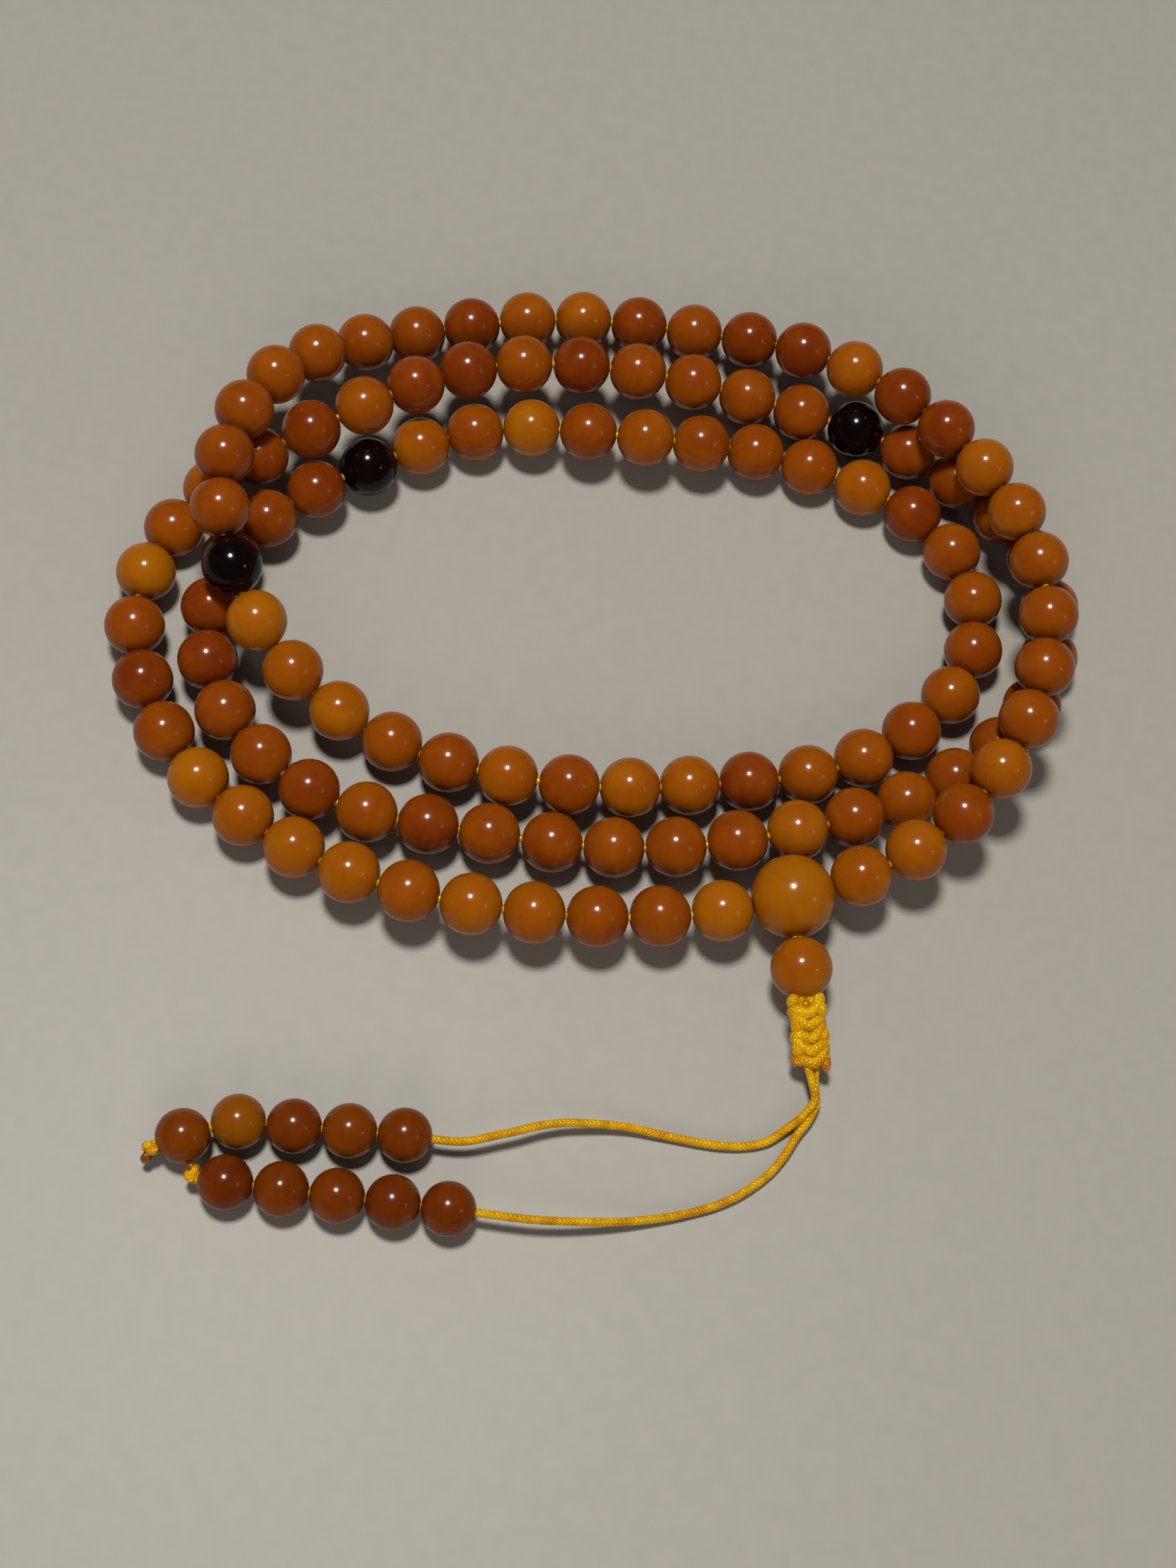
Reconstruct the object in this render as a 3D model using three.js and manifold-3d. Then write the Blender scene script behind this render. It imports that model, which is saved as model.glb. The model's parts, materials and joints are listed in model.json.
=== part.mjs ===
// Misbaha prayer beads: 108 round beads and three dark dividers on one closed strand, a large guru bead,
// and a pendant of tower bead, flat knot and two cord tails with five counter beads each.
// Millimetres, +Z up. The strand lies in three coils on the table plane z = 0.
import * as THREE from 'three';
import { mergeVertices } from 'three/addons/utils/BufferGeometryUtils.js';
import Module from 'manifold-3d';

const wasm = await Module();
wasm.setup();

// ---- driving dimensions ----

const BEAD_RADIUS = 4;
const BEAD_BORE = 0.85;
const BEAD_FLAT = 1.4; // radius of the small flat round each bore mouth
const GURU_RADIUS = 5.5;
const GURU_EXIT = 5.36; // from the guru's centre to where the strand cord leaves it
const COUNTER_RADIUS = 3.35;
const COUNTER_PITCH = 6.8;
const COUNTER_FLAT = 1.3;
const CORD_RADIUS = 0.55;
const PENDANT_BORE = 1.35; // wide enough for two cords side by side
const PENDANT_FLAT = 1.8;
const CORD_OFFSET = 0.6; // each pendant cord lies this far from the pendant's centre line

const LINKS = 111; // 108 beads and three dividers
const FIRST_LIFTED = 98; // the front arc begins with this link, goes through the guru bead ...
const FIRST_RESTING = 7; // ... and ends just before this one
const LIFT_GAP = 0.4; // bare cord at each end of the front arc

const KNOT_LENGTH = 9.4;
const KNOT_WRAPS = 5;
const WRAP_SIZE = new THREE.Vector3(2.55, 1.55, 1.75); // half sizes of one rounded wrap
const KNOT_BACK = 1.3; // the knot's flat back is this far below its centre line
const END_KNOT_RADIUS = 1.15;
const END_TIP_RADIUS = 0.85;

const PIVOT_GAP = 0.25; // a cord stops this far from a pivot, on each side
const RUN_SIDES = 8;
const CORD_SIDES = 5;

// ---- the lay of the strand, from the guru bead, round three coils and back to it ----

const STRAND = [
  [32, -35, 7], [49.5, -22.5, 9.5], [58.5, -3, 12.5], [57, 18.5, 12.5], [44, 35.5, 12], [24, 47, 9],
  [3, 49, 5], [-16, 45.5, 6], [-35.5, 37.5, 5.5], [-51, 22.5, 12.5], [-53.5, 1, 15], [-42, -17, 9.5],
  [-24.5, -24.5, 4], [0, -26, 6], [17.5, -21, 4.5], [38.5, -12, 4.5], [51, 7, 4.5], [44.5, 24.5, 4.5],
  [20.5, 32, 4], [0, 28, 7.5], [-21, 26, 4.5], [-36, 15.5, 5], [-50.5, -1, 5], [-49, -22, 5.5],
  [-32, -35, 6], [-8.5, -34.5, 4.5], [12, -32, 5], [31, -25.5, 7], [49, -13.5, 4.5], [60.5, 3, 4.5],
  [57.5, 25, 4.5], [37.5, 37.5, 4.5], [17.5, 39.5, 5.5], [-3.5, 38, 8.5], [-25, 32, 9.5], [-41, 18.5, 11],
  [-56.5, 7, 4], [-61.5, -13.5, 5], [-50.5, -33, 4.5], [-31.5, -43, 5.5], [-12.5, -46, 7.5], [11.5, -42.5, 6.5],
];

// How many beads are strung together as one piece, for each group of 27.
const GROUPS = [
  { group: 1, firstLink: 0, runs: [1, 1, 1, 4, 5, 5, 5, 5] },
  { group: 2, firstLink: 28, runs: [6, 5, 5, 5, 6] },
  { group: 3, firstLink: 56, runs: [6, 5, 5, 5, 6] },
  { group: 4, firstLink: 84, runs: [5, 5, 4, 3, 4, 1, 1, 1, 1, 1, 1] },
];
const DIVIDER_LINKS = [27, 55, 83];

// ---- the lay of the pendant and its two tails ----

const PENDANT_DIRECTION = unit(2.7, -9.3, -0.3);
const KNOT_DIRECTION = unit(0.32, -0.9, -0.34);
const GURU_TO_PIVOT = 5.5;
const PIVOT_TO_TOWER = 4.1;
const TOWER_TO_SWING = 3.9;
const SWING_TO_KNOT = 0.35;
const SWING_TO_TAILS = 12.5;

// Each tail: points from its swing pivot to its bend pivot, then on to the straight stretch of counters.
const TAIL_A = {
  name: 'a',
  side: -1,
  upper: [[38, -62, 1.4], [34.5, -65.8, 0.8], [29.5, -67.4, 0.8], [23, -67.8, 0.9], [16.8, -68, 1.5]],
  bend: [12.3, -68.8, 2.2],
  lower: [[8, -70, 2.8], [3.2, -72.4, 3.3]],
  straightFrom: [-1.5, -74.6],
  counterLine: unit(-27.8, -4, 0),
  toFirstCounter: 8.1,
  lastCounter: [-35.8, -81.9],
  knotDirection: unit(-0.55, -0.7, -0.7),
};
const TAIL_B = {
  name: 'b',
  side: 1,
  upper: [[38.7, -63.5, 1.4], [36.2, -69, 0.8], [31.5, -74, 0.8], [25, -77.6, 0.9]],
  bend: [19, -79.9, 1.8],
  lower: [[14.4, -81.2, 2.8]],
  straightFrom: [10, -82.2],
  counterLine: unit(-26.5, -2.8, 0),
  toFirstCounter: 12.3,
  lastCounter: null,
  knotDirection: unit(-0.8, 0.1, -0.9),
};
const COUNTERS = 5;

const AMBER = ['#b5641c', '#a85a18', '#c27a22', '#9c4f16', '#b86a1e', '#ad5f1b'];
const DARK_AMBER = ['#8f4312', '#9a4d15', '#a8601a', '#94480f', '#8a3f10'];
const CORD_YELLOW = '#d9a21b';

// ---- small helpers ----

function unit(x, y, z) {
  return new THREE.Vector3(x, y, z).normalize();
}

function along(point, direction, distance) {
  return point.clone().addScaledVector(direction, distance);
}

function between(a, b) {
  return a.clone().add(b).multiplyScalar(0.5);
}

function heading(a, b) {
  return b.clone().sub(a).normalize();
}

function named(name, geometry, colour, roughness) {
  const material = new THREE.MeshStandardMaterial({ color: colour, roughness, metalness: 0 });
  const mesh = new THREE.Mesh(geometry, material);
  mesh.name = name;
  return mesh;
}

function closedGeometry(positions, triangles) {
  const geometry = new THREE.BufferGeometry();
  geometry.setAttribute('position', new THREE.Float32BufferAttribute(positions, 3));
  geometry.setIndex(triangles);
  geometry.computeVertexNormals();
  return geometry;
}

// ---- swept solids ----

// A ring of points round an axis, with its first point always on the upper side.
function ring(centre, axis, radius, sides) {
  const up = new THREE.Vector3(0, 0, 1);
  const top = up.addScaledVector(axis, -up.dot(axis)).normalize();
  const side = new THREE.Vector3().crossVectors(axis, top);
  const points = [];
  for (let k = 0; k < sides; k += 1) {
    const angle = (2 * Math.PI * k) / sides;
    const point = along(centre, top, radius * Math.cos(angle));
    points.push(along(point, side, radius * Math.sin(angle)));
  }
  return points;
}

// Joins each ring of a list to the next, and the last to the first when the list is a closed loop.
function skin(rings, isLoop) {
  const sides = rings[0].length;
  const positions = rings.flat().flatMap((point) => point.toArray());
  const triangles = [];
  const bands = isLoop ? rings.length : rings.length - 1;
  for (let k = 0; k < bands; k += 1) {
    const here = k * sides;
    const next = ((k + 1) % rings.length) * sides;
    for (let j = 0; j < sides; j += 1) {
      const turn = (j + 1) % sides;
      triangles.push(here + j, here + turn, next + j);
      triangles.push(here + turn, next + turn, next + j);
    }
  }
  return { positions, triangles };
}

// A round cord through a list of points, closed at both ends.
function cordGeometry(path) {
  const rings = path.map((point, k) => {
    const before = path[Math.max(k - 1, 0)];
    const after = path[Math.min(k + 1, path.length - 1)];
    return ring(point, heading(before, after), CORD_RADIUS, CORD_SIDES);
  });
  const { positions, triangles } = skin(rings, false);
  const lastRing = (rings.length - 1) * CORD_SIDES;
  for (let k = 1; k < CORD_SIDES - 1; k += 1) {
    triangles.push(0, k + 1, k);
    triangles.push(lastRing, lastRing + k, lastRing + k + 1);
  }
  return closedGeometry(positions, triangles);
}

// ---- links of the strand ----

// Shares the strand evenly between its links, leaving room for the guru bead and the two lift gaps.
function strandLinks() {
  const points = STRAND.map(([x, y, z]) => new THREE.Vector3(x, y, z));
  const curve = new THREE.CatmullRomCurve3(points, true, 'centripetal');
  curve.arcLengthDivisions = 4000;
  const length = curve.getLength();
  const pitch = (length - 2 * GURU_EXIT - 2 * LIFT_GAP) / LINKS;
  const links = [];
  let travelled = GURU_EXIT;
  for (let k = 0; k < LINKS; k += 1) {
    if (k === FIRST_RESTING || k === FIRST_LIFTED) {
      travelled += LIFT_GAP;
    }
    const start = curve.getPointAt(travelled / length);
    travelled += pitch;
    links.push(link(start, curve.getPointAt(travelled / length)));
  }
  return links;
}

function link(start, end) {
  return { start, end, centre: between(start, end), axis: heading(start, end) };
}

// Half the cross-section of a bead, as [distance along the bore, radius], from one flat to the other.
function beadOutline(radius, flat, steps) {
  const flatAngle = Math.asin(flat / radius);
  const outline = [];
  for (let k = 0; k <= steps; k += 1) {
    const angle = Math.PI - flatAngle - (k * (Math.PI - 2 * flatAngle)) / steps;
    outline.push([radius * Math.cos(angle), radius * Math.sin(angle)]);
  }
  return outline;
}

// Beads strung end to end as one solid: each bead round its own axis, short necks between, one bore through.
function beadRunGeometry(links) {
  const outline = beadOutline(BEAD_RADIUS, BEAD_FLAT, 4);
  const outer = links.flatMap(({ centre, axis }) =>
    outline.map(([offset, radius]) => ring(along(centre, axis, offset), axis, radius, RUN_SIDES)),
  );
  const reach = outline[outline.length - 1][0];
  const first = links[0];
  const last = links[links.length - 1];
  const bore = [ring(along(first.centre, first.axis, -reach), first.axis, BEAD_BORE, RUN_SIDES)];
  for (let k = 1; k < links.length; k += 1) {
    const axis = heading(links[k - 1].centre, links[k].centre);
    bore.push(ring(links[k].start, axis, BEAD_BORE, RUN_SIDES));
  }
  bore.push(ring(along(last.centre, last.axis, reach), last.axis, BEAD_BORE, RUN_SIDES));
  const { positions, triangles } = skin([...outer, ...bore.reverse()], true);
  return closedGeometry(positions, triangles);
}

// ---- single beads ----

// A drilled bead as a lathe solid about its own Y axis.
function beadGeometry(radius, bore, flat, steps, sides) {
  const outline = beadOutline(radius, flat, steps).map(([offset, distance]) => [distance, offset]);
  const reach = outline[outline.length - 1][1];
  const profile = [[bore, -reach], ...outline, [bore, reach], [bore, -reach]];
  const points = profile.map(([x, y]) => new THREE.Vector2(x, y));
  return new THREE.LatheGeometry(points, sides);
}

function place(mesh, centre, axis) {
  mesh.position.copy(centre);
  mesh.quaternion.setFromUnitVectors(new THREE.Vector3(0, 1, 0), axis);
  return mesh;
}

function singleBead(name, { centre, axis }, colour) {
  const geometry = beadGeometry(BEAD_RADIUS, BEAD_BORE, BEAD_FLAT, 5, 10);
  return place(named(name, geometry, colour, 0.3), centre, axis);
}

function counterBead(name, centre, axis, colour) {
  const geometry = beadGeometry(COUNTER_RADIUS, BEAD_BORE, COUNTER_FLAT, 5, 10);
  return place(named(name, geometry, colour, 0.3), centre, axis);
}

// ---- boolean solids ----

function toManifold(geometry) {
  const bare = new THREE.BufferGeometry();
  bare.setAttribute('position', geometry.getAttribute('position'));
  bare.setIndex(geometry.getIndex());
  const merged = mergeVertices(bare);
  const vertProperties = new Float32Array(merged.getAttribute('position').array);
  const triVerts = new Uint32Array(merged.getIndex().array);
  return new wasm.Manifold(new wasm.Mesh({ numProp: 3, vertProperties, triVerts }));
}

function fromManifold(solid) {
  const mesh = solid.getMesh();
  return closedGeometry(Array.from(mesh.vertProperties), Array.from(mesh.triVerts));
}

function ball(size, centre, sides, bands) {
  const geometry = new THREE.SphereGeometry(1, sides, bands);
  geometry.scale(size.x, size.y, size.z);
  geometry.translate(centre.x, centre.y, centre.z);
  return toManifold(geometry);
}

// A rod from one point to another, for cutting a bore.
function rod(from, to, radius, sides) {
  const geometry = new THREE.CylinderGeometry(radius, radius, from.distanceTo(to), sides);
  const middle = between(from, to);
  const turn = new THREE.Quaternion().setFromUnitVectors(new THREE.Vector3(0, 1, 0), heading(from, to));
  geometry.applyMatrix4(new THREE.Matrix4().compose(middle, turn, new THREE.Vector3(1, 1, 1)));
  return toManifold(geometry);
}

// The guru bead's strand bore runs along its own Y axis; the pendant bore meets it at the centre.
function guruBead(guru) {
  const toLocal = new THREE.Quaternion().setFromUnitVectors(new THREE.Vector3(0, 1, 0), guru.axis).invert();
  const pendant = PENDANT_DIRECTION.clone().applyQuaternion(toLocal);
  const centre = new THREE.Vector3();
  const body = toManifold(beadGeometry(GURU_RADIUS, BEAD_BORE, BEAD_FLAT, 7, 14));
  const bore = rod(centre, along(centre, pendant, 2 * GURU_RADIUS), PENDANT_BORE, 10);
  return place(named('guru_bead', fromManifold(body.subtract(bore)), '#c98a2b', 0.3), guru.centre, guru.axis);
}

function towerBead(centre) {
  const geometry = beadGeometry(BEAD_RADIUS, PENDANT_BORE, PENDANT_FLAT, 5, 12);
  return place(named('tower_bead', geometry, '#b06a1a', 0.3), centre, PENDANT_DIRECTION);
}

// The flat knot in its own frame: Y along the cords, X across, Z through its thickness.
function flatKnotGeometry() {
  const pitch = (KNOT_LENGTH - 2 * WRAP_SIZE.y + 0.6) / (KNOT_WRAPS - 1);
  let solid = null;
  for (let k = 0; k < KNOT_WRAPS; k += 1) {
    const offset = (k - (KNOT_WRAPS - 1) / 2) * pitch;
    const wrap = ball(WRAP_SIZE, new THREE.Vector3(0, offset, 0), 10, 6);
    solid = solid ? solid.add(wrap) : wrap;
  }
  const meltedEnd = new THREE.Vector3(0.85, 0.85, 0.85);
  for (const side of [-1, 1]) {
    solid = solid.add(ball(meltedEnd, new THREE.Vector3(side * 1.8, KNOT_LENGTH / 2 - 0.75, 0), 6, 4));
  }
  const room = new THREE.BoxGeometry(8, KNOT_LENGTH, 4);
  room.translate(0, 0, 2 - KNOT_BACK);
  solid = solid.intersect(toManifold(room));
  const slotHeight = CORD_RADIUS + 0.15;
  const slot = new THREE.BoxGeometry(2 * (CORD_OFFSET + slotHeight), 2 * KNOT_LENGTH, 2 * slotHeight);
  return fromManifold(solid.subtract(toManifold(slot)));
}

function flatKnot(start) {
  const mesh = named('flat_knot', flatKnotGeometry(), CORD_YELLOW, 0.7);
  const across = acrossKnot();
  const up = new THREE.Vector3().crossVectors(across, KNOT_DIRECTION);
  mesh.quaternion.setFromRotationMatrix(new THREE.Matrix4().makeBasis(across, KNOT_DIRECTION, up));
  mesh.position.copy(along(start, KNOT_DIRECTION, KNOT_LENGTH / 2));
  return mesh;
}

// Horizontal direction across the knot, from the b side to the a side, so that across x knot points up.
function acrossKnot() {
  return new THREE.Vector3().crossVectors(KNOT_DIRECTION, new THREE.Vector3(0, 0, 1)).normalize();
}

// A lump of tied cord with a melted tip, and a blind hole for the cord that it ends.
function endKnot(name, mouth, direction) {
  const lump = along(mouth, direction, 1.3);
  const tip = along(mouth, direction, 2.9);
  const lumpSize = new THREE.Vector3(END_KNOT_RADIUS, END_KNOT_RADIUS, END_KNOT_RADIUS);
  const tipSize = new THREE.Vector3(END_TIP_RADIUS, END_TIP_RADIUS, END_TIP_RADIUS);
  const hole = rod(along(mouth, direction, -1), along(mouth, direction, 1.2), CORD_RADIUS + 0.2, 8);
  const solid = ball(lumpSize, lump, 8, 6).add(ball(tipSize, tip, 6, 5)).subtract(hole);
  return named(name, fromManifold(solid), '#c98f1f', 0.6);
}

// ---- assembly ----

function strandBeads(links) {
  const meshes = [];
  for (const { group, firstLink, runs } of GROUPS) {
    let bead = 1;
    for (const count of runs) {
      const members = links.slice(firstLink + bead - 1, firstLink + bead - 1 + count);
      const colour = AMBER[meshes.length % AMBER.length];
      const from = String(bead).padStart(2, '0');
      const to = String(bead + count - 1).padStart(2, '0');
      if (count === 1) {
        meshes.push(singleBead(`bead_${group}_${from}`, members[0], colour));
      } else {
        meshes.push(named(`beads_${group}_${from}_${to}`, beadRunGeometry(members), colour, 0.3));
      }
      bead += count;
    }
  }
  return meshes;
}

function dividers(links) {
  return DIVIDER_LINKS.map((k, index) => singleBead(`divider_${index + 1}`, links[k], '#1a0b08'));
}

// The strand cord lies in two parts: through the resting coils, and through the lifted arc and guru bead.
function strandCords(links) {
  const resting = links.slice(FIRST_RESTING, FIRST_LIFTED);
  const left = links.slice(FIRST_LIFTED);
  const right = links.slice(0, FIRST_RESTING);
  const coils = [resting[0].start, ...resting.map(({ end }) => end)];
  const front = [left[0].start, ...left.map(({ end }) => end), right[0].start, ...right.map(({ end }) => end)];
  return [
    named('strand_cord_coils', cordGeometry(coils), CORD_YELLOW, 0.7),
    named('strand_cord_front', cordGeometry(front), CORD_YELLOW, 0.7),
  ];
}

// A straight cord beside a centre line, from one distance along it to another.
function sideCord(name, origin, direction, across, side, from, to) {
  const base = along(origin, across, side * CORD_OFFSET);
  const path = [along(base, direction, from), along(base, direction, to)];
  return named(name, cordGeometry(path), CORD_YELLOW, 0.7);
}

function pendant(guru) {
  const across = new THREE.Vector3().crossVectors(new THREE.Vector3(0, 0, 1), PENDANT_DIRECTION).normalize();
  const droop = along(guru.centre, PENDANT_DIRECTION, GURU_TO_PIVOT);
  const tower = along(droop, PENDANT_DIRECTION, PIVOT_TO_TOWER);
  const swing = along(tower, PENDANT_DIRECTION, TOWER_TO_SWING);
  const toSwing = PIVOT_TO_TOWER + TOWER_TO_SWING;
  const knotAcross = acrossKnot().negate();
  const meshes = [towerBead(tower), flatKnot(along(swing, KNOT_DIRECTION, SWING_TO_KNOT))];
  for (const { name, side } of [TAIL_A, TAIL_B]) {
    const stub = [1.5, GURU_TO_PIVOT - PIVOT_GAP];
    meshes.push(sideCord(`guru_cord_${name}`, guru.centre, PENDANT_DIRECTION, across, side, ...stub));
    const through = [PIVOT_GAP, toSwing - PIVOT_GAP];
    meshes.push(sideCord(`tower_cord_${name}`, droop, PENDANT_DIRECTION, across, side, ...through));
    const onward = [PIVOT_GAP, SWING_TO_TAILS - PIVOT_GAP];
    meshes.push(sideCord(`pendant_cord_${name}`, swing, KNOT_DIRECTION, knotAcross, side, ...onward));
  }
  const fork = along(swing, KNOT_DIRECTION, SWING_TO_TAILS);
  return { meshes, fork, knotAcross, droop, swing };
}

// A smooth cord path through points, starting and stopping a little short of its ends.
function smoothPath(points, spacing, startGap, endGap) {
  const curve = new THREE.CatmullRomCurve3(points, false, 'centripetal');
  const length = curve.getLength();
  const steps = Math.round(length / spacing);
  const path = [];
  for (let k = 0; k <= steps; k += 1) {
    const distance = startGap + ((length - startGap - endGap) * k) / steps;
    path.push(curve.getPointAt(Math.min(distance / length, 1)));
  }
  return path;
}

function onTable(point) {
  return new THREE.Vector3(point[0], point[1], COUNTER_RADIUS);
}

function tail(spec, fork, across) {
  const toPoints = (list) => list.map(([x, y, z]) => new THREE.Vector3(x, y, z));
  const pivot = along(fork, across, spec.side * CORD_OFFSET);
  const lead = along(pivot, KNOT_DIRECTION, 1.2);
  const bend = new THREE.Vector3(...spec.bend);
  const straight = onTable(spec.straightFrom);
  const meshes = [];

  const upper = smoothPath([pivot, lead, ...toPoints(spec.upper), bend], 3, PIVOT_GAP, PIVOT_GAP);
  meshes.push(named(`tail_${spec.name}_cord_upper`, cordGeometry(upper), CORD_YELLOW, 0.7));

  const bendToStraight = [bend, ...toPoints(spec.lower), straight];
  const lower = smoothPath(bendToStraight, 3, PIVOT_GAP, 0);
  const loose = spec.lastCounter ? COUNTERS - 1 : COUNTERS;
  for (let k = 0; k < loose; k += 1) {
    const centre = along(straight, spec.counterLine, spec.toFirstCounter + k * COUNTER_PITCH);
    const colour = DARK_AMBER[(k + (spec.lastCounter ? 2 : 0)) % DARK_AMBER.length];
    meshes.push(counterBead(`counter_${spec.name}_${COUNTERS - k}`, centre, spec.counterLine, colour));
  }
  let end = along(straight, spec.counterLine, spec.toFirstCounter + (loose - 0.5) * COUNTER_PITCH);
  let axis = spec.counterLine;
  lower.push(end);
  if (spec.lastCounter) {
    const centre = onTable(spec.lastCounter);
    axis = heading(end, centre);
    meshes.push(counterBead(`counter_${spec.name}_1`, centre, axis, DARK_AMBER[1]));
    end = along(centre, axis, COUNTER_PITCH / 2);
    lower.push(end);
  }
  const mouth = along(end, axis, 0.1);
  lower.push(along(mouth, spec.knotDirection, 0.9));
  meshes.push(named(`tail_${spec.name}_cord_lower`, cordGeometry(lower), CORD_YELLOW, 0.7));
  meshes.push(endKnot(`end_knot_${spec.name}`, mouth, spec.knotDirection));
  return meshes;
}

const links = strandLinks();
const guru = link(links[LINKS - 1].end, links[0].start);
const hanging = pendant(guru);

const misbaha = new THREE.Group();
misbaha.name = 'misbaha_prayer_beads';
misbaha.add(
  ...strandBeads(links),
  ...dividers(links),
  guruBead(guru),
  ...strandCords(links),
  ...hanging.meshes,
  ...tail(TAIL_A, hanging.fork, hanging.knotAcross),
  ...tail(TAIL_B, hanging.fork, hanging.knotAcross),
);

// The origin is the middle of the part's footprint, on the table.
const box = new THREE.Box3().setFromObject(misbaha, true);
const middle = box.getCenter(new THREE.Vector3()).setZ(box.min.z);
misbaha.children.forEach((mesh) => mesh.position.sub(middle));

export default misbaha;
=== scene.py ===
"""Looks for the misbaha prayer beads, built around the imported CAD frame: drilled amber beads, dark dividers,
braided cord, a knotted flat knot with melted ends, and a tied end knot on each tail."""

import json
import math
import random

import bpy
import numpy as np
from mathutils import Matrix, Vector

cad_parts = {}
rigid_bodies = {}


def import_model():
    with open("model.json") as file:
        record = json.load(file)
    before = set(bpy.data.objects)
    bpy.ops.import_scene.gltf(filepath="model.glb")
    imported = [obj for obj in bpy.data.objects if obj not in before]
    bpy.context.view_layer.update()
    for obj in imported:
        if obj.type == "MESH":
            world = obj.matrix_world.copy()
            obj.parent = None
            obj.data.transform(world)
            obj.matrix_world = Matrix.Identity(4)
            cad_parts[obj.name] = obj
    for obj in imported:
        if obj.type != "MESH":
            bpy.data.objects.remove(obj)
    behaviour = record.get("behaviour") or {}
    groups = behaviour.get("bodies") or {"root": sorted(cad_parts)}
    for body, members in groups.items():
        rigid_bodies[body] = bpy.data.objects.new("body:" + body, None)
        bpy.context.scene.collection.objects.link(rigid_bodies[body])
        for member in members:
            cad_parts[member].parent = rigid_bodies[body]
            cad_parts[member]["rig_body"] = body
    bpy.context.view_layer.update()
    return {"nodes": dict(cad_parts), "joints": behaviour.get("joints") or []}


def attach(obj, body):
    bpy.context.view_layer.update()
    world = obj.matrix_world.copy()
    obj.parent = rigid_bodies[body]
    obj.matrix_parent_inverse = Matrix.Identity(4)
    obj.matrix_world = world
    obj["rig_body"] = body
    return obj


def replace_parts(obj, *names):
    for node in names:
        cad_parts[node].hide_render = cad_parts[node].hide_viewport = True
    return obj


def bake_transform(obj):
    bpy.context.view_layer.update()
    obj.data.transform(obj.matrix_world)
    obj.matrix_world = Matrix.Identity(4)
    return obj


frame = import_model()

# ---- driving dimensions: millimetres, which MM turns into metres ----

MM = 0.001

BEAD_RADIUS = 4.02
GURU_RADIUS = 5.5
COUNTER_RADIUS = 3.42
BORE = 0.56
PENDANT_BORE = 0.86  # the tower bead and the third hole of the guru bead are wider, for two cords
LIP = 0.09  # width of the rounded edge round each drilled hole
BEAD_SIDES = 48
BEAD_BANDS = 26
BEAD_VARIATION = 0.006  # how much smaller than full size a bead may be, as a share

CORD_RADIUS = 0.55
CORE_SIDES = 10
BRAID_YARNS = 8  # in each direction
BRAID_LAY = 4.4  # length along the cord of one full turn of a yarn
BRAID_STEP = 0.13
YARN_SIDES = 6
YARN_WIDTH = 0.31  # half the width of a flattened yarn, as a share of the cord radius
YARN_THICKNESS = 0.09
FILAMENTS = 7  # bands of filaments round each yarn
YARN_CROWN = 0.05  # how far a yarn rises and sinks as it goes over and under the others
STRAND_STEP = 0.3
STRAND_SIDES = 16
STRAND_RELIEF = 0.035
PENDANT_SQUEEZE = 0.25  # how far each pendant cord is pressed towards the other inside the beads, as a share

KNOT_GAP = 0.35  # from the swing pivot to the start of the flat knot
KNOT_LENGTH = 9.4
HALF_KNOTS = 5
KNOT_START = -0.2  # from the start of the knot to the middle of its first crossing cord
KNOT_FINISH = 1.7
KNOT_HALF_WIDTH = 1.75
KNOT_CORD = 0.76  # radius of the cord in the flat knot
KNOT_SAG = 1.3  # how far each front crossing is pulled towards the tails
KNOT_TOP = 0.98
KNOT_BOTTOM = -0.65

MELTED_RIGHT = (-1.7, KNOT_LENGTH - 1.2, 0.3)  # across, along and up from the start of the flat knot
MELTED_RIGHT_SIZES = (0.72, 1.0, 0.75)
MELTED_LEFT = (2.05, KNOT_LENGTH - 2.2, -0.15)
MELTED_LEFT_SIZES = (0.62, 1.0, 0.68)

END_KNOT_CORD = 0.52
END_KNOT_SCALE = 0.33
END_KNOT_SPIN = 0.6  # turn of the knot about its own axis, in radians
END_KNOT_REACH = 0.55  # from the hole of the last counter to the middle of its end knot
END_KNOT_SHIFT = {"a": (0, 0, 0), "b": (0, 0.5, 0)}
CORD_PAST_COUNTER = 0.25  # how far the cord comes out of the last counter before its end knot
TIP_DIRECTION = {"a": (-0.35, -0.85, -0.4), "b": (-0.55, 0.75, 0.25)}
TIP_REACH = {"a": 1.3, "b": 1.0}  # from the middle of an end knot to its melted tip
TIP_HALF_SIZES = {"a": (0.66, 0.66, 0.85), "b": (0.6, 0.6, 0.7)}
FORK_LEAN = 5.0  # the two tails lie over each other for this far on each side of the fork
FORK_RISE = 0.52

LIFT_BLEND = 1.2  # cord on each side of a lift gap that goes into the short piece of cord there
TAIL_BLEND = 3.0
FORK_BLEND = 5.0
BLEND_MARGIN = 1.0  # a piece goes on this far past the end of the stretch set by TAIL_BLEND or FORK_BLEND

RING_SPAN = 1.3  # corners of a CAD cord closer than this belong to one ring

# Tints run from 0 for the reddest amber to 1 for the most honey-coloured. The beads named here, by group and
# number, measured near one end of that range. The others are in the middle.
HONEY = {
    1: (1, 2, 4, 9, 10, 13, 18, 19),
    2: (1, 2, 3, 6, 8, 9, 19, 23, 25, 27),
    3: (16,),
    4: (14, 18, 19, 20, 21, 23, 24, 27),
}
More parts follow.
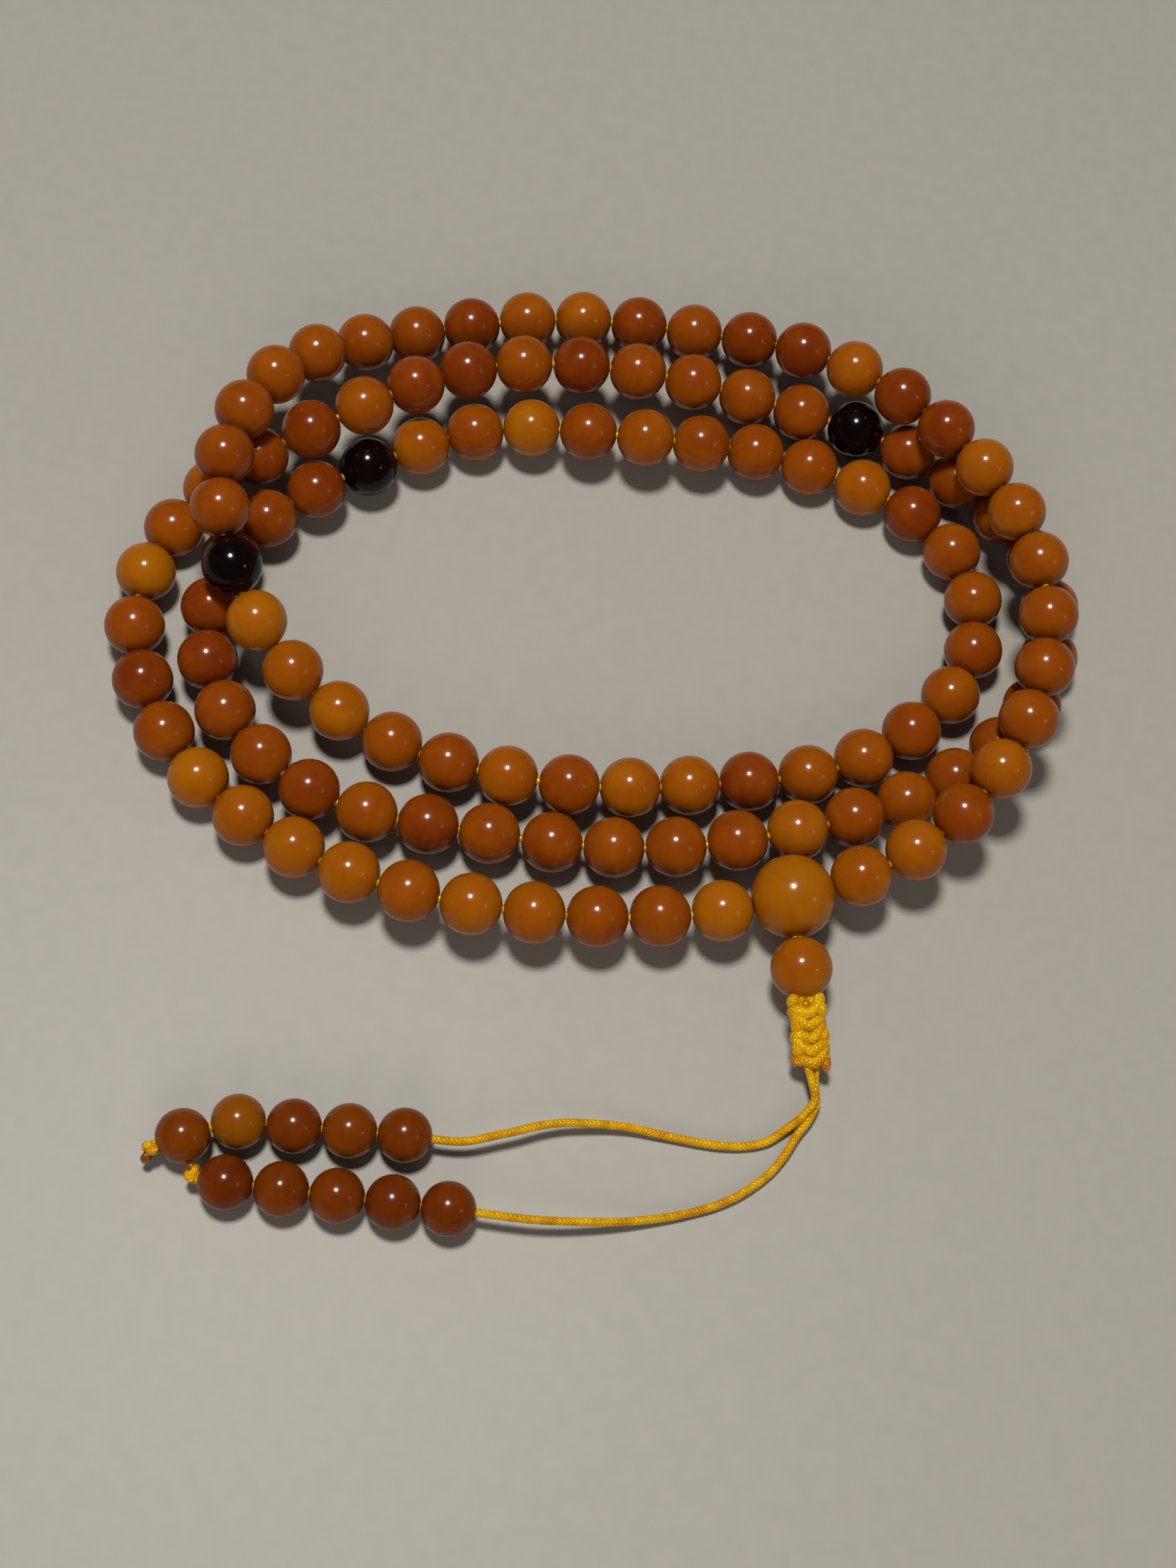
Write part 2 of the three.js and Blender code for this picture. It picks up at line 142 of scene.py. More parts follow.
# Bead 4 of group 3 lies in shade. Listing it here paints that shade on it as a darker, redder tint.
RUSSET_AND_SHADED = {
    1: (11, 12, 14, 15, 17, 20),
    2: (10, 18),
    3: (1, 4, 5, 8, 10, 27),
    4: (5, 7, 8, 10, 16),
}
HONEY_TINTS = (0.66, 0.95)
RUSSET_TINTS = (0.08, 0.2)
MIDDLE_TINTS = (0.3, 0.55)
GURU_TINT = 0.92
TOWER_TINT = 0.8
COUNTER_TINTS = {"a": (0.4, 0.85, 0.2, 0.45, 0.3), "b": (0.08, 0.3, 0.32, 0.12, 0.15)}

# ---- camera and light ----

CAMERA_PLACE = (3.1, -133.7, 283.1)
CAMERA_BELOW_HORIZON = 65.4
CAMERA_ROLL = 12.7
CAMERA_LENS = 53.4
KEY_DIRECTION = (-0.13, 0.10, 0.985)
KEY_SIZE = 0.18
KEY_POWER = 8.8
SIDE_DIRECTION = (0.83, -0.15, 0.54)
SIDE_SIZE = 0.03
SIDE_POWER = 0.18
FILL_DIRECTION = (0.1, -0.86, 0.5)
FILL_SIZE = 0.6
FILL_POWER = 2.25
SKY_STRENGTH = 0.06
KEY_DISTANCE = 1.0  # metres, as the light sizes are
SIDE_DISTANCE = 0.9
FILL_DISTANCE = 0.9

FLOOR_REACH = 900
FLOOR_DROP = 0.02  # keeps the floor just clear of the beads that rest on it

chance = random.Random(108)


# ---- small helpers ----


def unit(vector):
    return vector / np.linalg.norm(vector)


def nearest_index(points, target):
    return int(np.linalg.norm(points - target, axis=1).argmin())


def joint_place(name):
    """The pivot of a CAD joint, in millimetres."""
    joint = next(j for j in frame["joints"] if j["name"] == name)
    return np.array(joint["pos_m"]) / MM


def joint_axis(name):
    joint = next(j for j in frame["joints"] if j["name"] == name)
    return np.array(joint["axis"])


def new_piece(name, vertices, faces, material, uvs=None):
    """A smooth-shaded mesh object from points in millimetres."""
    mesh = bpy.data.meshes.new(name)
    mesh.from_pydata((np.asarray(vertices) * MM).tolist(), [], faces)
    if uvs is not None:
        layer = mesh.uv_layers.new(name="yarn")
        layer.data.foreach_set("uv", np.asarray(uvs, np.float32).ravel())
    mesh.shade_smooth()
    mesh.materials.append(material)
    piece = bpy.data.objects.new(name, mesh)
    bpy.context.scene.collection.objects.link(piece)
    return piece


def turned(axis, spin):
    """A turn that takes +Z to an axis, after spinning about it."""
    return Vector((0, 0, 1)).rotation_difference(Vector(axis)).to_matrix() @ Matrix.Rotation(spin, 3, "Z")


# ---- reading places back from the CAD frame ----


def corners(node):
    """The different vertices of a CAD node, in millimetres."""
    mesh = frame["nodes"][node].data
    return np.array(sorted({tuple(round(c / MM, 3) for c in v.co) for v in mesh.vertices}))


def middle(node):
    return corners(node).mean(axis=0)


def sphere_centre(points):
    """The centre of the sphere that fits some points best."""
    terms = np.c_[2 * points, np.ones(len(points))]
    return np.linalg.lstsq(terms, (points**2).sum(axis=1), rcond=None)[0][:3]


def beads_in(node, count):
    """The centres of the beads strung together in one CAD node, in order along it."""
    points = corners(node)
    base = points.mean(axis=0)
    line = np.linalg.svd(points - base, full_matrices=False)[2][0]
    reach = (points - base) @ line
    shares = (np.arange(count) + 0.5) / count
    centres = base + np.outer(reach.min() + shares * np.ptp(reach), line)
    for tolerance in (3, 2, 1, 0.5, 0.2, 0.1):
        distance = np.linalg.norm(points[:, None] - centres, axis=2)
        nearest = distance.argmin(axis=1)
        on_surface = abs(distance.min(axis=1) - BEAD_RADIUS) < tolerance
        centres = np.array([sphere_centre(points[(nearest == k) & on_surface]) for k in range(count)])
    return centres


def ring_centres(node, start):
    """The centre line of a CAD cord: the middles of its rings of corners, from the end nearest to start."""
    left = corners(node)
    path = []
    here = start
    while len(left):
        first = left[nearest_index(left, here)]
        in_ring = np.linalg.norm(left - first, axis=1) < RING_SPAN
        here = left[in_ring].mean(axis=0)
        left = left[~in_ring]
        path.append(here)
    return path


def strung_beads(guru):
    """Every bead and divider of the strand as (name, CAD node, centre), once round from the guru bead."""
    strung = []
    here = guru
    for group in (1, 2, 3, 4):
        starts = (f"bead_{group}_", f"beads_{group}_")
        nodes = [name for name in frame["nodes"] if name.startswith(starts)]
        for node in sorted(nodes, key=lambda name: name.split("_")[2]):
            numbers = [int(part) for part in node.split("_")[2:]]
            centres = list(beads_in(node, numbers[-1] - numbers[0] + 1))
            if np.linalg.norm(centres[0] - here) > np.linalg.norm(centres[-1] - here):
                centres.reverse()
            for number, centre in enumerate(centres, numbers[0]):
                strung.append((f"amber_{group}_{number:02d}", node, centre))
            here = centres[-1]
        if group < 4:
            divider = f"divider_{group}"
            strung.append((f"dark_bead_{group}", divider, middle(divider)))
            here = middle(divider)
    return strung


# ---- materials ----


def new_material(name):
    material = bpy.data.materials.new(name)
    material.use_nodes = True
    tree = material.node_tree
    return material, tree, tree.nodes["Principled BSDF"]


def add(tree, kind, inputs, **settings):
    """Adds a shader node; each input takes a value or another node's socket."""
    made = tree.nodes.new(kind)
    for name, value in settings.items():
        setattr(made, name, value)
    fill(tree, made, inputs)
    return made


def fill(tree, made, inputs):
    for name, value in inputs.items():
        if isinstance(value, bpy.types.NodeSocket):
            tree.links.new(value, made.inputs[name])
        else:
            made.inputs[name].default_value = value


def ramp(tree, factor, stops):
    made = add(tree, "ShaderNodeValToRGB", {"Fac": factor})
    elements = made.color_ramp.elements
    while len(elements) < len(stops):
        elements.new(0.5)
    for element, (position, colour) in zip(elements, stops):
        element.position = position
        element.color = (*colour, 1)
    return made.outputs["Color"]


def scaled(tree, value, factor, offset):
    made = add(tree, "ShaderNodeMath", {0: value, 1: factor, 2: offset}, operation="MULTIPLY_ADD")
    return made.outputs[0]


def own_value(tree, name):
    """A number that each bead carries as a custom property."""
    return add(tree, "ShaderNodeAttribute", {}, attribute_type="OBJECT", attribute_name=name).outputs["Fac"]


def bead_space(tree):
    """Coordinates fixed to each bead in millimetres, and shifted by its seed so that no two look alike."""
    place = add(tree, "ShaderNodeTexCoord", {}).outputs["Object"]
    seed = own_value(tree, "seed")
    shift = add(tree, "ShaderNodeCombineXYZ", {"X": seed, "Y": seed, "Z": seed}).outputs[0]
    scale = (1 / MM, 1 / MM, 1 / MM)
    made = add(tree, "ShaderNodeVectorMath", {0: place, 1: scale, 2: shift}, operation="MULTIPLY_ADD")
    return made.outputs[0]


def noise(tree, vector, scale, detail, distortion=0.0):
    inputs = {"Vector": vector, "Scale": scale, "Detail": detail, "Distortion": distortion}
    return add(tree, "ShaderNodeTexNoise", inputs).outputs["Fac"]


def amber(name, strength):
    """Waxy, slightly translucent amber in each bead's own tint, with clouds, faint swirls and specks."""
    material, tree, shader = new_material(name)
    space = bead_space(tree)
    clouds = noise(tree, space, 0.16, 2, 0.6)
    flat = add(tree, "ShaderNodeMapping", {"Vector": space, "Scale": (0.35, 0.35, 1.2)}).outputs[0]
    swirls = noise(tree, flat, 0.55, 4, 1.4)
    body = scaled(tree, clouds, 0.75, own_value(tree, "tint"))
    factor = scaled(tree, swirls, 0.35, scaled(tree, body, 1.0, -0.55))
    stops = [
        (0.0, (0.165, 0.025, 0.0010)),
        (0.35, (0.242, 0.053, 0.0011)),
        (0.7, (0.300, 0.083, 0.0012)),
        (1.0, (0.350, 0.120, 0.0014)),
    ]
    stops = [(place, tuple(strength * channel for channel in colour)) for place, colour in stops]
    colour = ramp(tree, factor, stops)
    specks = ramp(tree, noise(tree, space, 2.4, 2), [(0.68, (0, 0, 0)), (0.78, (1, 1, 1))])
    mixed = add(
        tree,
        "ShaderNodeMix",
        {"Factor": scaled(tree, specks, 0.25, 0.0), "A": colour, "B": (0.09, 0.016, 0.0015, 1)},
        data_type="RGBA",
    )
    ripple = add(tree, "ShaderNodeBump", {"Height": noise(tree, space, 0.5, 2), "Strength": 0.015}).outputs[0]
    fill(
        tree,
        shader,
        {
            "Base Color": mixed.outputs["Result"],
            "Roughness": 0.19,
            "IOR": 1.35,
            "Subsurface Weight": 1.0,
            "Subsurface Radius": (1.0, 0.5, 0.2),
            "Subsurface Scale": 4.5 * MM,
            "Normal": ripple,
        },
    )
    return material


def dark_stone():
    """Polished, near-black divider with a dark red depth."""
    material, tree, shader = new_material("dark_stone")
    space = bead_space(tree)
    depth = noise(tree, space, 0.25, 3, 0.8)
    colour = ramp(tree, depth, [(0.4, (0.0015, 0.0008, 0.0008)), (0.8, (0.007, 0.0012, 0.0009))])
    ripple = add(tree, "ShaderNodeBump", {"Height": noise(tree, space, 0.5, 2), "Strength": 0.015}).outputs[0]
    fill(tree, shader, {"Base Color": colour, "Roughness": 0.14, "IOR": 1.33, "Normal": ripple})
    return material


def braided_cord():
    """Shiny golden-yellow yarn, spun from fine filaments that run along it."""
    material, tree, shader = new_material("braided_cord")
    uv = add(tree, "ShaderNodeUVMap", {}, uv_map="yarn").outputs[0]
    split = add(tree, "ShaderNodeSeparateXYZ", {"Vector": uv})
    slant = scaled(tree, split.outputs["Y"], 0.35, split.outputs["X"])
    phase = scaled(tree, slant, FILAMENTS * 2 * math.pi, 0.0)
    lines = add(tree, "ShaderNodeMath", {0: phase}, operation="SINE").outputs[0]
    place = add(tree, "ShaderNodeTexCoord", {}).outputs["Object"]
    patches = noise(tree, place, 600, 3)
    shade = scaled(tree, lines, 0.06, patches)
    stops = [(0.3, (0.50, 0.180, 0.001)), (0.48, (0.60, 0.300, 0.001)), (0.75, (0.76, 0.45, 0.002))]
    colour = ramp(tree, shade, stops)
    bump = add(tree, "ShaderNodeBump", {"Height": lines, "Strength": 0.3, "Distance": 0.012 * MM})
    fill(
        tree,
        shader,
        {
            "Base Color": colour,
            "Roughness": 0.27,
            "Specular IOR Level": 0.9,
            "Specular Tint": (1.0, 0.78, 0.16, 1),
            "Normal": bump.outputs[0],
        },
    )
    return material


def melted_cord(name, light, dark):
    """Cord melted to a glossy, burnt-orange bead of plastic."""
    material, tree, shader = new_material(name)
    place = add(tree, "ShaderNodeTexCoord", {}).outputs["Object"]
    burn = noise(tree, place, 700, 3, 0.5)
    fill(
        tree,
        shader,
        {
            "Base Color": ramp(tree, burn, [(0.35, dark), (0.65, light)]),
            "Roughness": 0.2,
            "Subsurface Weight": 0.3,
            "Subsurface Radius": (1.0, 0.4, 0.1),
            "Subsurface Scale": 0.6 * MM,
        },
    )
    return material


def pale_floor():
    material, tree, shader = new_material("pale_floor")
    place = add(tree, "ShaderNodeTexCoord", {}).outputs["Object"]
    tone = noise(tree, place, 400, 3)
    colour = ramp(tree, tone, [(0.3, (0.335, 0.320, 0.285)), (0.7, (0.350, 0.334, 0.298))])
    fill(tree, shader, {"Base Color": colour, "Roughness": 0.5, "Specular IOR Level": 0.35})
    return material


# ---- beads ----


def lathe(outline, sides):
    """Turns a closed outline of (radius, height) about Z, into (vertices, faces)."""
    count = len(outline)
    angles = np.linspace(0, 2 * math.pi, sides, endpoint=False)
    vertices = [(r * math.cos(a), r * math.sin(a), z) for a in angles for r, z in outline]
    faces = []
    for j in range(sides):
        here = j * count
        there = (j + 1) % sides * count
        for k in range(count):
            step = (k + 1) % count
            faces.append((here + k, here + step, there + step, there + k))
    return vertices, faces


def bead_outline(radius, bore):
    """Half the section of a drilled bead: down its outside, round a lip, up the bore and round again."""
    rim = math.asin((bore + LIP) / radius)
    polar = np.linspace(rim, math.pi - rim, BEAD_BANDS)
    outside = [(radius * math.sin(a), radius * math.cos(a)) for a in polar]
    mouth = radius * math.cos(rim)
    quarter = np.linspace(0, math.pi / 2, 4)[1:]
    lip = [(bore + LIP * (1 - math.sin(a)), mouth - LIP * (1 - math.cos(a))) for a in quarter]
    lower_lip = [(r, -z) for r, z in lip]
    wall = [(bore, -mouth * share) for share in (0.5, 0.0, -0.5)]
    return outside + lower_lip + wall + list(reversed(lip))


def bead_mesh(name, radius, bore, material):
    vertices, faces = lathe(bead_outline(radius, bore), BEAD_SIDES)
    piece = new_piece(name, vertices, faces, material)
    mesh = piece.data
    bpy.data.objects.remove(piece)
    return mesh


def place_bead(name, mesh, centre, axis, tint, node):
    """One bead on its cord: very slightly uneven in size, and turned by chance about its own hole."""
    bead = bpy.data.objects.new(name, mesh)
    bpy.context.scene.collection.objects.link(bead)
    squeeze = [1 - chance.random() * BEAD_VARIATION for _ in range(2)]
    size = Matrix.Diagonal((squeeze[0], squeeze[0], squeeze[1]))
    turn = turned(axis, chance.uniform(0, 2 * math.pi))
    bead.matrix_world = Matrix.Translation(Vector(centre) * MM) @ (turn @ size).to_4x4()
    bead["tint"] = tint
    bead["seed"] = chance.uniform(0, 100)
    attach(bead, frame["nodes"][node]["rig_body"])
    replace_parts(bead, node)
    return bead


def tint_of(group, number):
    if number in HONEY[group]:
        return chance.uniform(*HONEY_TINTS)
    if number in RUSSET_AND_SHADED[group]:
        return chance.uniform(*RUSSET_TINTS)
    return chance.uniform(*MIDDLE_TINTS)


def strand_beads(strung, guru):
    """All 108 amber beads and the three dark ones, each aimed along the cord between its neighbours."""
    amber_mesh = bead_mesh("amber_bead", BEAD_RADIUS, BORE, AMBER)
    dark_mesh = bead_mesh("dark_bead", BEAD_RADIUS, BORE, DARK_STONE)
    loop = [guru] + [centre for _, _, centre in strung] + [guru]
    for k, (name, node, centre) in enumerate(strung, 1):
        axis = unit(loop[k + 1] - loop[k - 1])
        if name.startswith("dark"):
            place_bead(name, dark_mesh, centre, axis, 0.5, node)
        else:
            group, number = (int(part) for part in name.split("_")[1:])
            place_bead(name, amber_mesh, centre, axis, tint_of(group, number), node)


def guru_and_tower(strung, guru, tower):
    """The large bead with three holes, and the wide-bored bead below it."""
    strand_axis = unit(strung[0][2] - strung[-1][2])
    pendant_axis = unit(tower - guru)
    big = bead_mesh("guru", GURU_RADIUS, BORE, AMBER)
    bead = place_bead("guru_amber", big, guru, strand_axis, GURU_TINT, "guru_bead")
    drill(bead, guru, pendant_axis)
    wide = bead_mesh("tower", BEAD_RADIUS, PENDANT_BORE, AMBER)
    place_bead("tower_amber", wide, tower, pendant_axis, TOWER_TINT, "tower_bead")


def drill(bead, centre, axis):
    """Cuts the third hole of the guru bead, from its middle out along an axis."""
    rod = Cord([centre, centre + 2 * GURU_RADIUS * axis], GURU_RADIUS)
    sides = 32
    rings = core_rings(rod, 0, rod.count, PENDANT_BORE, sides)
    cutter = new_piece("cutter", rings, tube_faces(rod.count + 1, sides, 0), AMBER)
    cut = bead.modifiers.new("pendant_bore", "BOOLEAN")
    cut.object = cutter
    cut.operation = "DIFFERENCE"
    bpy.context.view_layer.update()
    final = bead.evaluated_get(bpy.context.evaluated_depsgraph_get())
    mesh = bpy.data.meshes.new_from_object(final)
    bead.modifiers.clear()
    bead.data = mesh
    mesh.set_sharp_from_angle(angle=math.radians(40))
    bpy.data.objects.remove(cutter)


def counters(tail):
    """The five small beads of one tail, from the innermost to the last before its end knot."""
    mesh = bead_mesh(f"counter_{tail}", COUNTER_RADIUS, BORE, COUNTER_AMBER)
    centres = [middle(f"counter_{tail}_{k}") for k in (1, 2, 3, 4, 5)]
    for k, centre in enumerate(centres):
        axis = unit(centres[max(k - 1, 0)] - centres[min(k + 1, 4)])
        name = f"amber_counter_{tail}_{k + 1}"
        bead = place_bead(name, mesh, centre, axis, COUNTER_TINTS[tail][k], f"counter_{tail}_{k + 1}")
    return centres


# ---- cords ----


class Cord:
    """A smooth centre line at even steps, with two directions square to it at every place."""

    def __init__(self, points, step):
        points = np.array(points, float)
        curve = smooth(points, step)
        lengths = np.linalg.norm(np.diff(curve, axis=0), axis=1)
        travelled = np.r_[0, np.cumsum(lengths)]
        self.count = max(int(round(travelled[-1] / step)), 2)
        self.distance = np.linspace(0, travelled[-1], self.count + 1)
        self.place = np.stack([np.interp(self.distance, travelled, curve[:, i]) for i in range(3)], axis=1)
        tangent = np.gradient(self.place, axis=0)
        tangent /= np.linalg.norm(tangent, axis=1)[:, None]
        side = np.zeros_like(tangent)
        side[0] = unit(np.cross(tangent[0], (0.3, 0.2, 1)))
        for k in range(1, len(side)):
            side[k] = unit(side[k - 1] - tangent[k] * (side[k - 1] @ tangent[k]))
        self.side = side
        self.up = np.cross(tangent, side)

    def at(self, point):
        """The step of the cord nearest to a point."""
        return nearest_index(self.place, point)


def smooth(points, step):
    """A curve through points: cubic pieces whose slopes allow for uneven spacing."""
    gaps = np.linalg.norm(np.diff(points, axis=0), axis=1)
    slopes = np.diff(points, axis=0) / gaps[:, None]
    inner = (slopes[:-1] * gaps[1:, None] + slopes[1:] * gaps[:-1, None]) / (gaps[:-1] + gaps[1:])[:, None]
    tangents = np.vstack([slopes[:1], inner, slopes[-1:]])
    curve = [points[:1]]
    for k, gap in enumerate(gaps):
        t = np.linspace(0, 1, max(int(gap / step * 2), 2) + 1)[1:, None]
        start = (2 * t**3 - 3 * t**2 + 1) * points[k] + (t**3 - 2 * t**2 + t) * gap * tangents[k]
        end = (3 * t**2 - 2 * t**3) * points[k + 1] + (t**3 - t**2) * gap * tangents[k + 1]
        curve.append(start + end)
    return np.vstack(curve)


def tube_faces(rings, sides, base):
    """Quads between rings of corners, and a face over each end."""
    faces = []
    for i in range(rings - 1):
        here = base + i * sides
        for j in range(sides):
            turn = (j + 1) % sides
            faces.append((here + j, here + turn, here + sides + turn, here + sides + j))
    last = base + (rings - 1) * sides
    faces.append(tuple(base + j for j in reversed(range(sides))))
    faces.append(tuple(last + j for j in range(sides)))
    return faces


def tube_uvs(rings, sides, distance):
    """Corner coordinates for tube_faces: round the tube in turns, and along it in millimetres."""
    uvs = []
    for i in range(rings - 1):
        for j in range(sides):
            low, high = distance[i], distance[i + 1]
            uvs += [(j / sides, low), ((j + 1) / sides, low), ((j + 1) / sides, high), (j / sides, high)]
    uvs += [(0, distance[0])] * sides
    uvs += [(0, distance[-1])] * sides
    return uvs


def yarn_rings(cord, first, last, direction, index, radius):
    """Corners of one flattened yarn as it spirals round a cord and passes over and under the others."""
    s = cord.distance[first : last + 1]
    turn = direction * 2 * math.pi * s / BRAID_LAY + 2 * math.pi * index / BRAID_YARNS
    middle_radius = radius - YARN_THICKNESS - YARN_CROWN
    rise = middle_radius + direction * YARN_CROWN * np.cos(BRAID_YARNS / 2 * turn + math.pi / 4)
    side = cord.side[first : last + 1]
    up = cord.up[first : last + 1]
    out = side * np.cos(turn)[:, None] + up * np.sin(turn)[:, None]
    round_way = up * np.cos(turn)[:, None] - side * np.sin(turn)[:, None]
    centre = cord.place[first : last + 1] + out * rise[:, None]
    slope = direction * 2 * math.pi * middle_radius / BRAID_LAY
    forward = np.cross(side, up)
    across = (round_way - forward * slope) / math.hypot(1, slope)
    rings = []
    for j in range(YARN_SIDES):
        angle = 2 * math.pi * j / YARN_SIDES
        flat = across * radius * YARN_WIDTH * math.sin(angle)
        rings.append(centre + flat + out * YARN_THICKNESS * math.cos(angle))
    return np.stack(rings, axis=1).reshape(-1, 3)


def core_rings(cord, first, last, radius, sides):
    side = cord.side[first : last + 1]
    up = cord.up[first : last + 1]
    rings = []
    for j in range(sides):
        angle = 2 * math.pi * j / sides
        out = side * math.cos(angle) + up * math.sin(angle)
        rings.append(cord.place[first : last + 1] + out * radius)
    return np.stack(rings, axis=1).reshape(-1, 3)


def braid(name, cord, first, last, radius=CORD_RADIUS):
    """A stretch of round braided cord: a core, and yarns that spiral both ways over and under each other."""
    rings = last - first + 1
    distance = cord.distance[first : last + 1]
    vertices = [core_rings(cord, first, last, radius - 2 * YARN_THICKNESS - YARN_CROWN, CORE_SIDES)]
    faces = tube_faces(rings, CORE_SIDES, 0)
    uvs = tube_uvs(rings, CORE_SIDES, distance)
    base = rings * CORE_SIDES
    for direction in (1, -1):
        for index in range(BRAID_YARNS):
            vertices.append(yarn_rings(cord, first, last, direction, index, radius))
            faces += tube_faces(rings, YARN_SIDES, base)
            uvs += tube_uvs(rings, YARN_SIDES, distance)
            base += rings * YARN_SIDES
    return new_piece(name, np.vstack(vertices), faces, CORD, uvs)


def strand_cord(name, cord, first, last):
    """Cord that is mostly hidden inside the beads: one tube with the bumps of the braid in its surface."""
    rings = last - first + 1
    s = cord.distance[first : last + 1]
    side = cord.side[first : last + 1]
    up = cord.up[first : last + 1]
    rows = []
    for j in range(STRAND_SIDES):
        angle = 2 * math.pi * j / STRAND_SIDES
        relief = STRAND_RELIEF * np.cos(8 * angle) * np.cos(2 * math.pi * s / (4 * STRAND_STEP))
        out = side * math.cos(angle) + up * math.sin(angle)
        rows.append(cord.place[first : last + 1] + out * (CORD_RADIUS - STRAND_RELIEF + relief)[:, None])
    vertices = np.stack(rows, axis=1).reshape(-1, 3)
    faces = tube_faces(rings, STRAND_SIDES, 0)
    piece = new_piece(name, vertices, faces, CORD, tube_uvs(rings, STRAND_SIDES, s))
    return piece


def strand_cords(strung, guru):
    """The strand cord: through the coils, through the front arc, and a short bend at each lift gap."""
    names = [name for name, _, _ in strung]
    centres = [centre for _, _, centre in strung]
    right = names.index("amber_1_08")
    left = names.index("amber_4_15")
    loop = centres[left - 2 :] + [guru] + centres[: right + 2]
    front = Cord(loop, STRAND_STEP)
    coils = Cord(centres[right - 1 : left + 1], STRAND_STEP)
    gap_left = (centres[left - 1] + centres[left]) / 2
    gap_right = (centres[right - 1] + centres[right]) / 2
    spread = int(LIFT_BLEND / STRAND_STEP) + 1

    first, last = coils.at(gap_right) + spread, coils.at(gap_left) - spread
    piece = strand_cord("strand_cord_resting", coils, first, last)
    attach(piece, "coils")
    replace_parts(piece, "strand_cord_coils")
    first, last = front.at(gap_left) + spread, front.at(gap_right) - spread
    piece = strand_cord("strand_cord_lifting", front, first, last)
    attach(piece, "front_arc")
    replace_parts(piece, "strand_cord_front")
    for name, gap, coil_bead, arc_bead in (
        ("strand_cord_bend_left", gap_left, centres[left - 1], centres[left]),
        ("strand_cord_bend_right", gap_right, centres[right], centres[right - 1]),
    ):
        at = front.at(gap)
        piece = strand_cord(name, front, at - spread, at + spread)
        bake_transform(piece)


def tail_path(tail, guru, counter_centres):
    """The centre line of one pendant cord, from inside the guru bead to its end knot."""
    other = "b" if tail == "a" else "a"
    path = []
    here = guru
    for node in ("guru_cord", "tower_cord"):
        own = ring_centres(f"{node}_{tail}", here)
        beside = ring_centres(f"{node}_{other}", here)
        path += [place + (near - place) * PENDANT_SQUEEZE for place, near in zip(own, beside)]
        here = path[-1]
    for node in (f"pendant_cord_{tail}", f"tail_{tail}_cord_upper"):
        path += [place + fork_lean(tail, place) for place in ring_centres(node, here)]
        here = path[-1]
    inner, outer = counter_centres[4], counter_centres[0]
    for place in ring_centres(f"tail_{tail}_cord_lower", here):
        if np.linalg.norm(place - inner) < np.linalg.norm(place - outer):
            path.append(place)
    path += list(reversed(counter_centres))
    path.append(outer + unit(outer - counter_centres[1]) * (COUNTER_RADIUS + CORD_PAST_COUNTER))
    return path


def fork_lean(tail, place):
    """How far a tail cord is moved near the fork, where tail a lies over tail b instead of beside it."""
    pivot = joint_place(f"tail_{tail}_swing")
    fork = (joint_place("tail_a_swing") + joint_place("tail_b_swing")) / 2
    share = math.exp(-((np.linalg.norm(place - fork) / FORK_LEAN) ** 2))
    rise = FORK_RISE if tail == "a" else -FORK_RISE
    return share * ((fork - pivot) * 0.7 + np.array((0, 0, rise)))


def blended(piece):
    """Bakes a piece's placement into its mesh; the piece is not bent and rides on no body."""
    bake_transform(piece)


def tail_cords(tail, guru, counter_centres):
    """One pendant cord in five stretches split at the pivots: four fixed in place, and the last through the
    counters, which rides the lower tail.
    """
    cord = Cord(tail_path(tail, guru, counter_centres), BRAID_STEP)
    droop = cord.at(joint_place("pendant_droop"))
    swing = cord.at(joint_place("pendant_swing"))
    fork = cord.at(joint_place(f"tail_{tail}_swing"))
    bend = cord.at(joint_place(f"tail_{tail}_bend"))
    in_tower = (droop + swing) // 2
    in_knot = (swing + fork) // 2
    past_fork = fork + int((FORK_BLEND + BLEND_MARGIN) / BRAID_STEP)
    past_bend = bend + int((TAIL_BLEND + BLEND_MARGIN) / BRAID_STEP)
    upper, lower = f"tail_{tail}_upper", f"tail_{tail}_lower"

    def stretch(name, first, last, *nodes):
        piece = braid(f"braid_{tail}_{name}", cord, first, last)
        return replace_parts(piece, *nodes)

    neck = stretch("neck", 0, in_tower, f"guru_cord_{tail}")
    blended(neck)
    through = stretch("through_tower", in_tower, in_knot, f"tower_cord_{tail}")
    blended(through)
    forked = stretch("fork", in_knot, past_fork, f"pendant_cord_{tail}")
    blended(forked)
    middle_part = stretch("upper", past_fork, past_bend, f"tail_{tail}_cord_upper")
    blended(middle_part)
    last = stretch("lower", past_bend, cord.count, f"tail_{tail}_cord_lower")
    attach(last, lower)
    return cord


# ---- knots ----


def knot_frame():
    """Where the flat knot starts, and its directions across, along and up as the rows of a matrix."""
    forward = joint_axis("knot_slide")
    across = unit(np.cross(forward, (0, 0, 1)))
    start = joint_place("pendant_swing") + forward * KNOT_GAP
    return start, np.array([across, forward, np.cross(across, forward)])


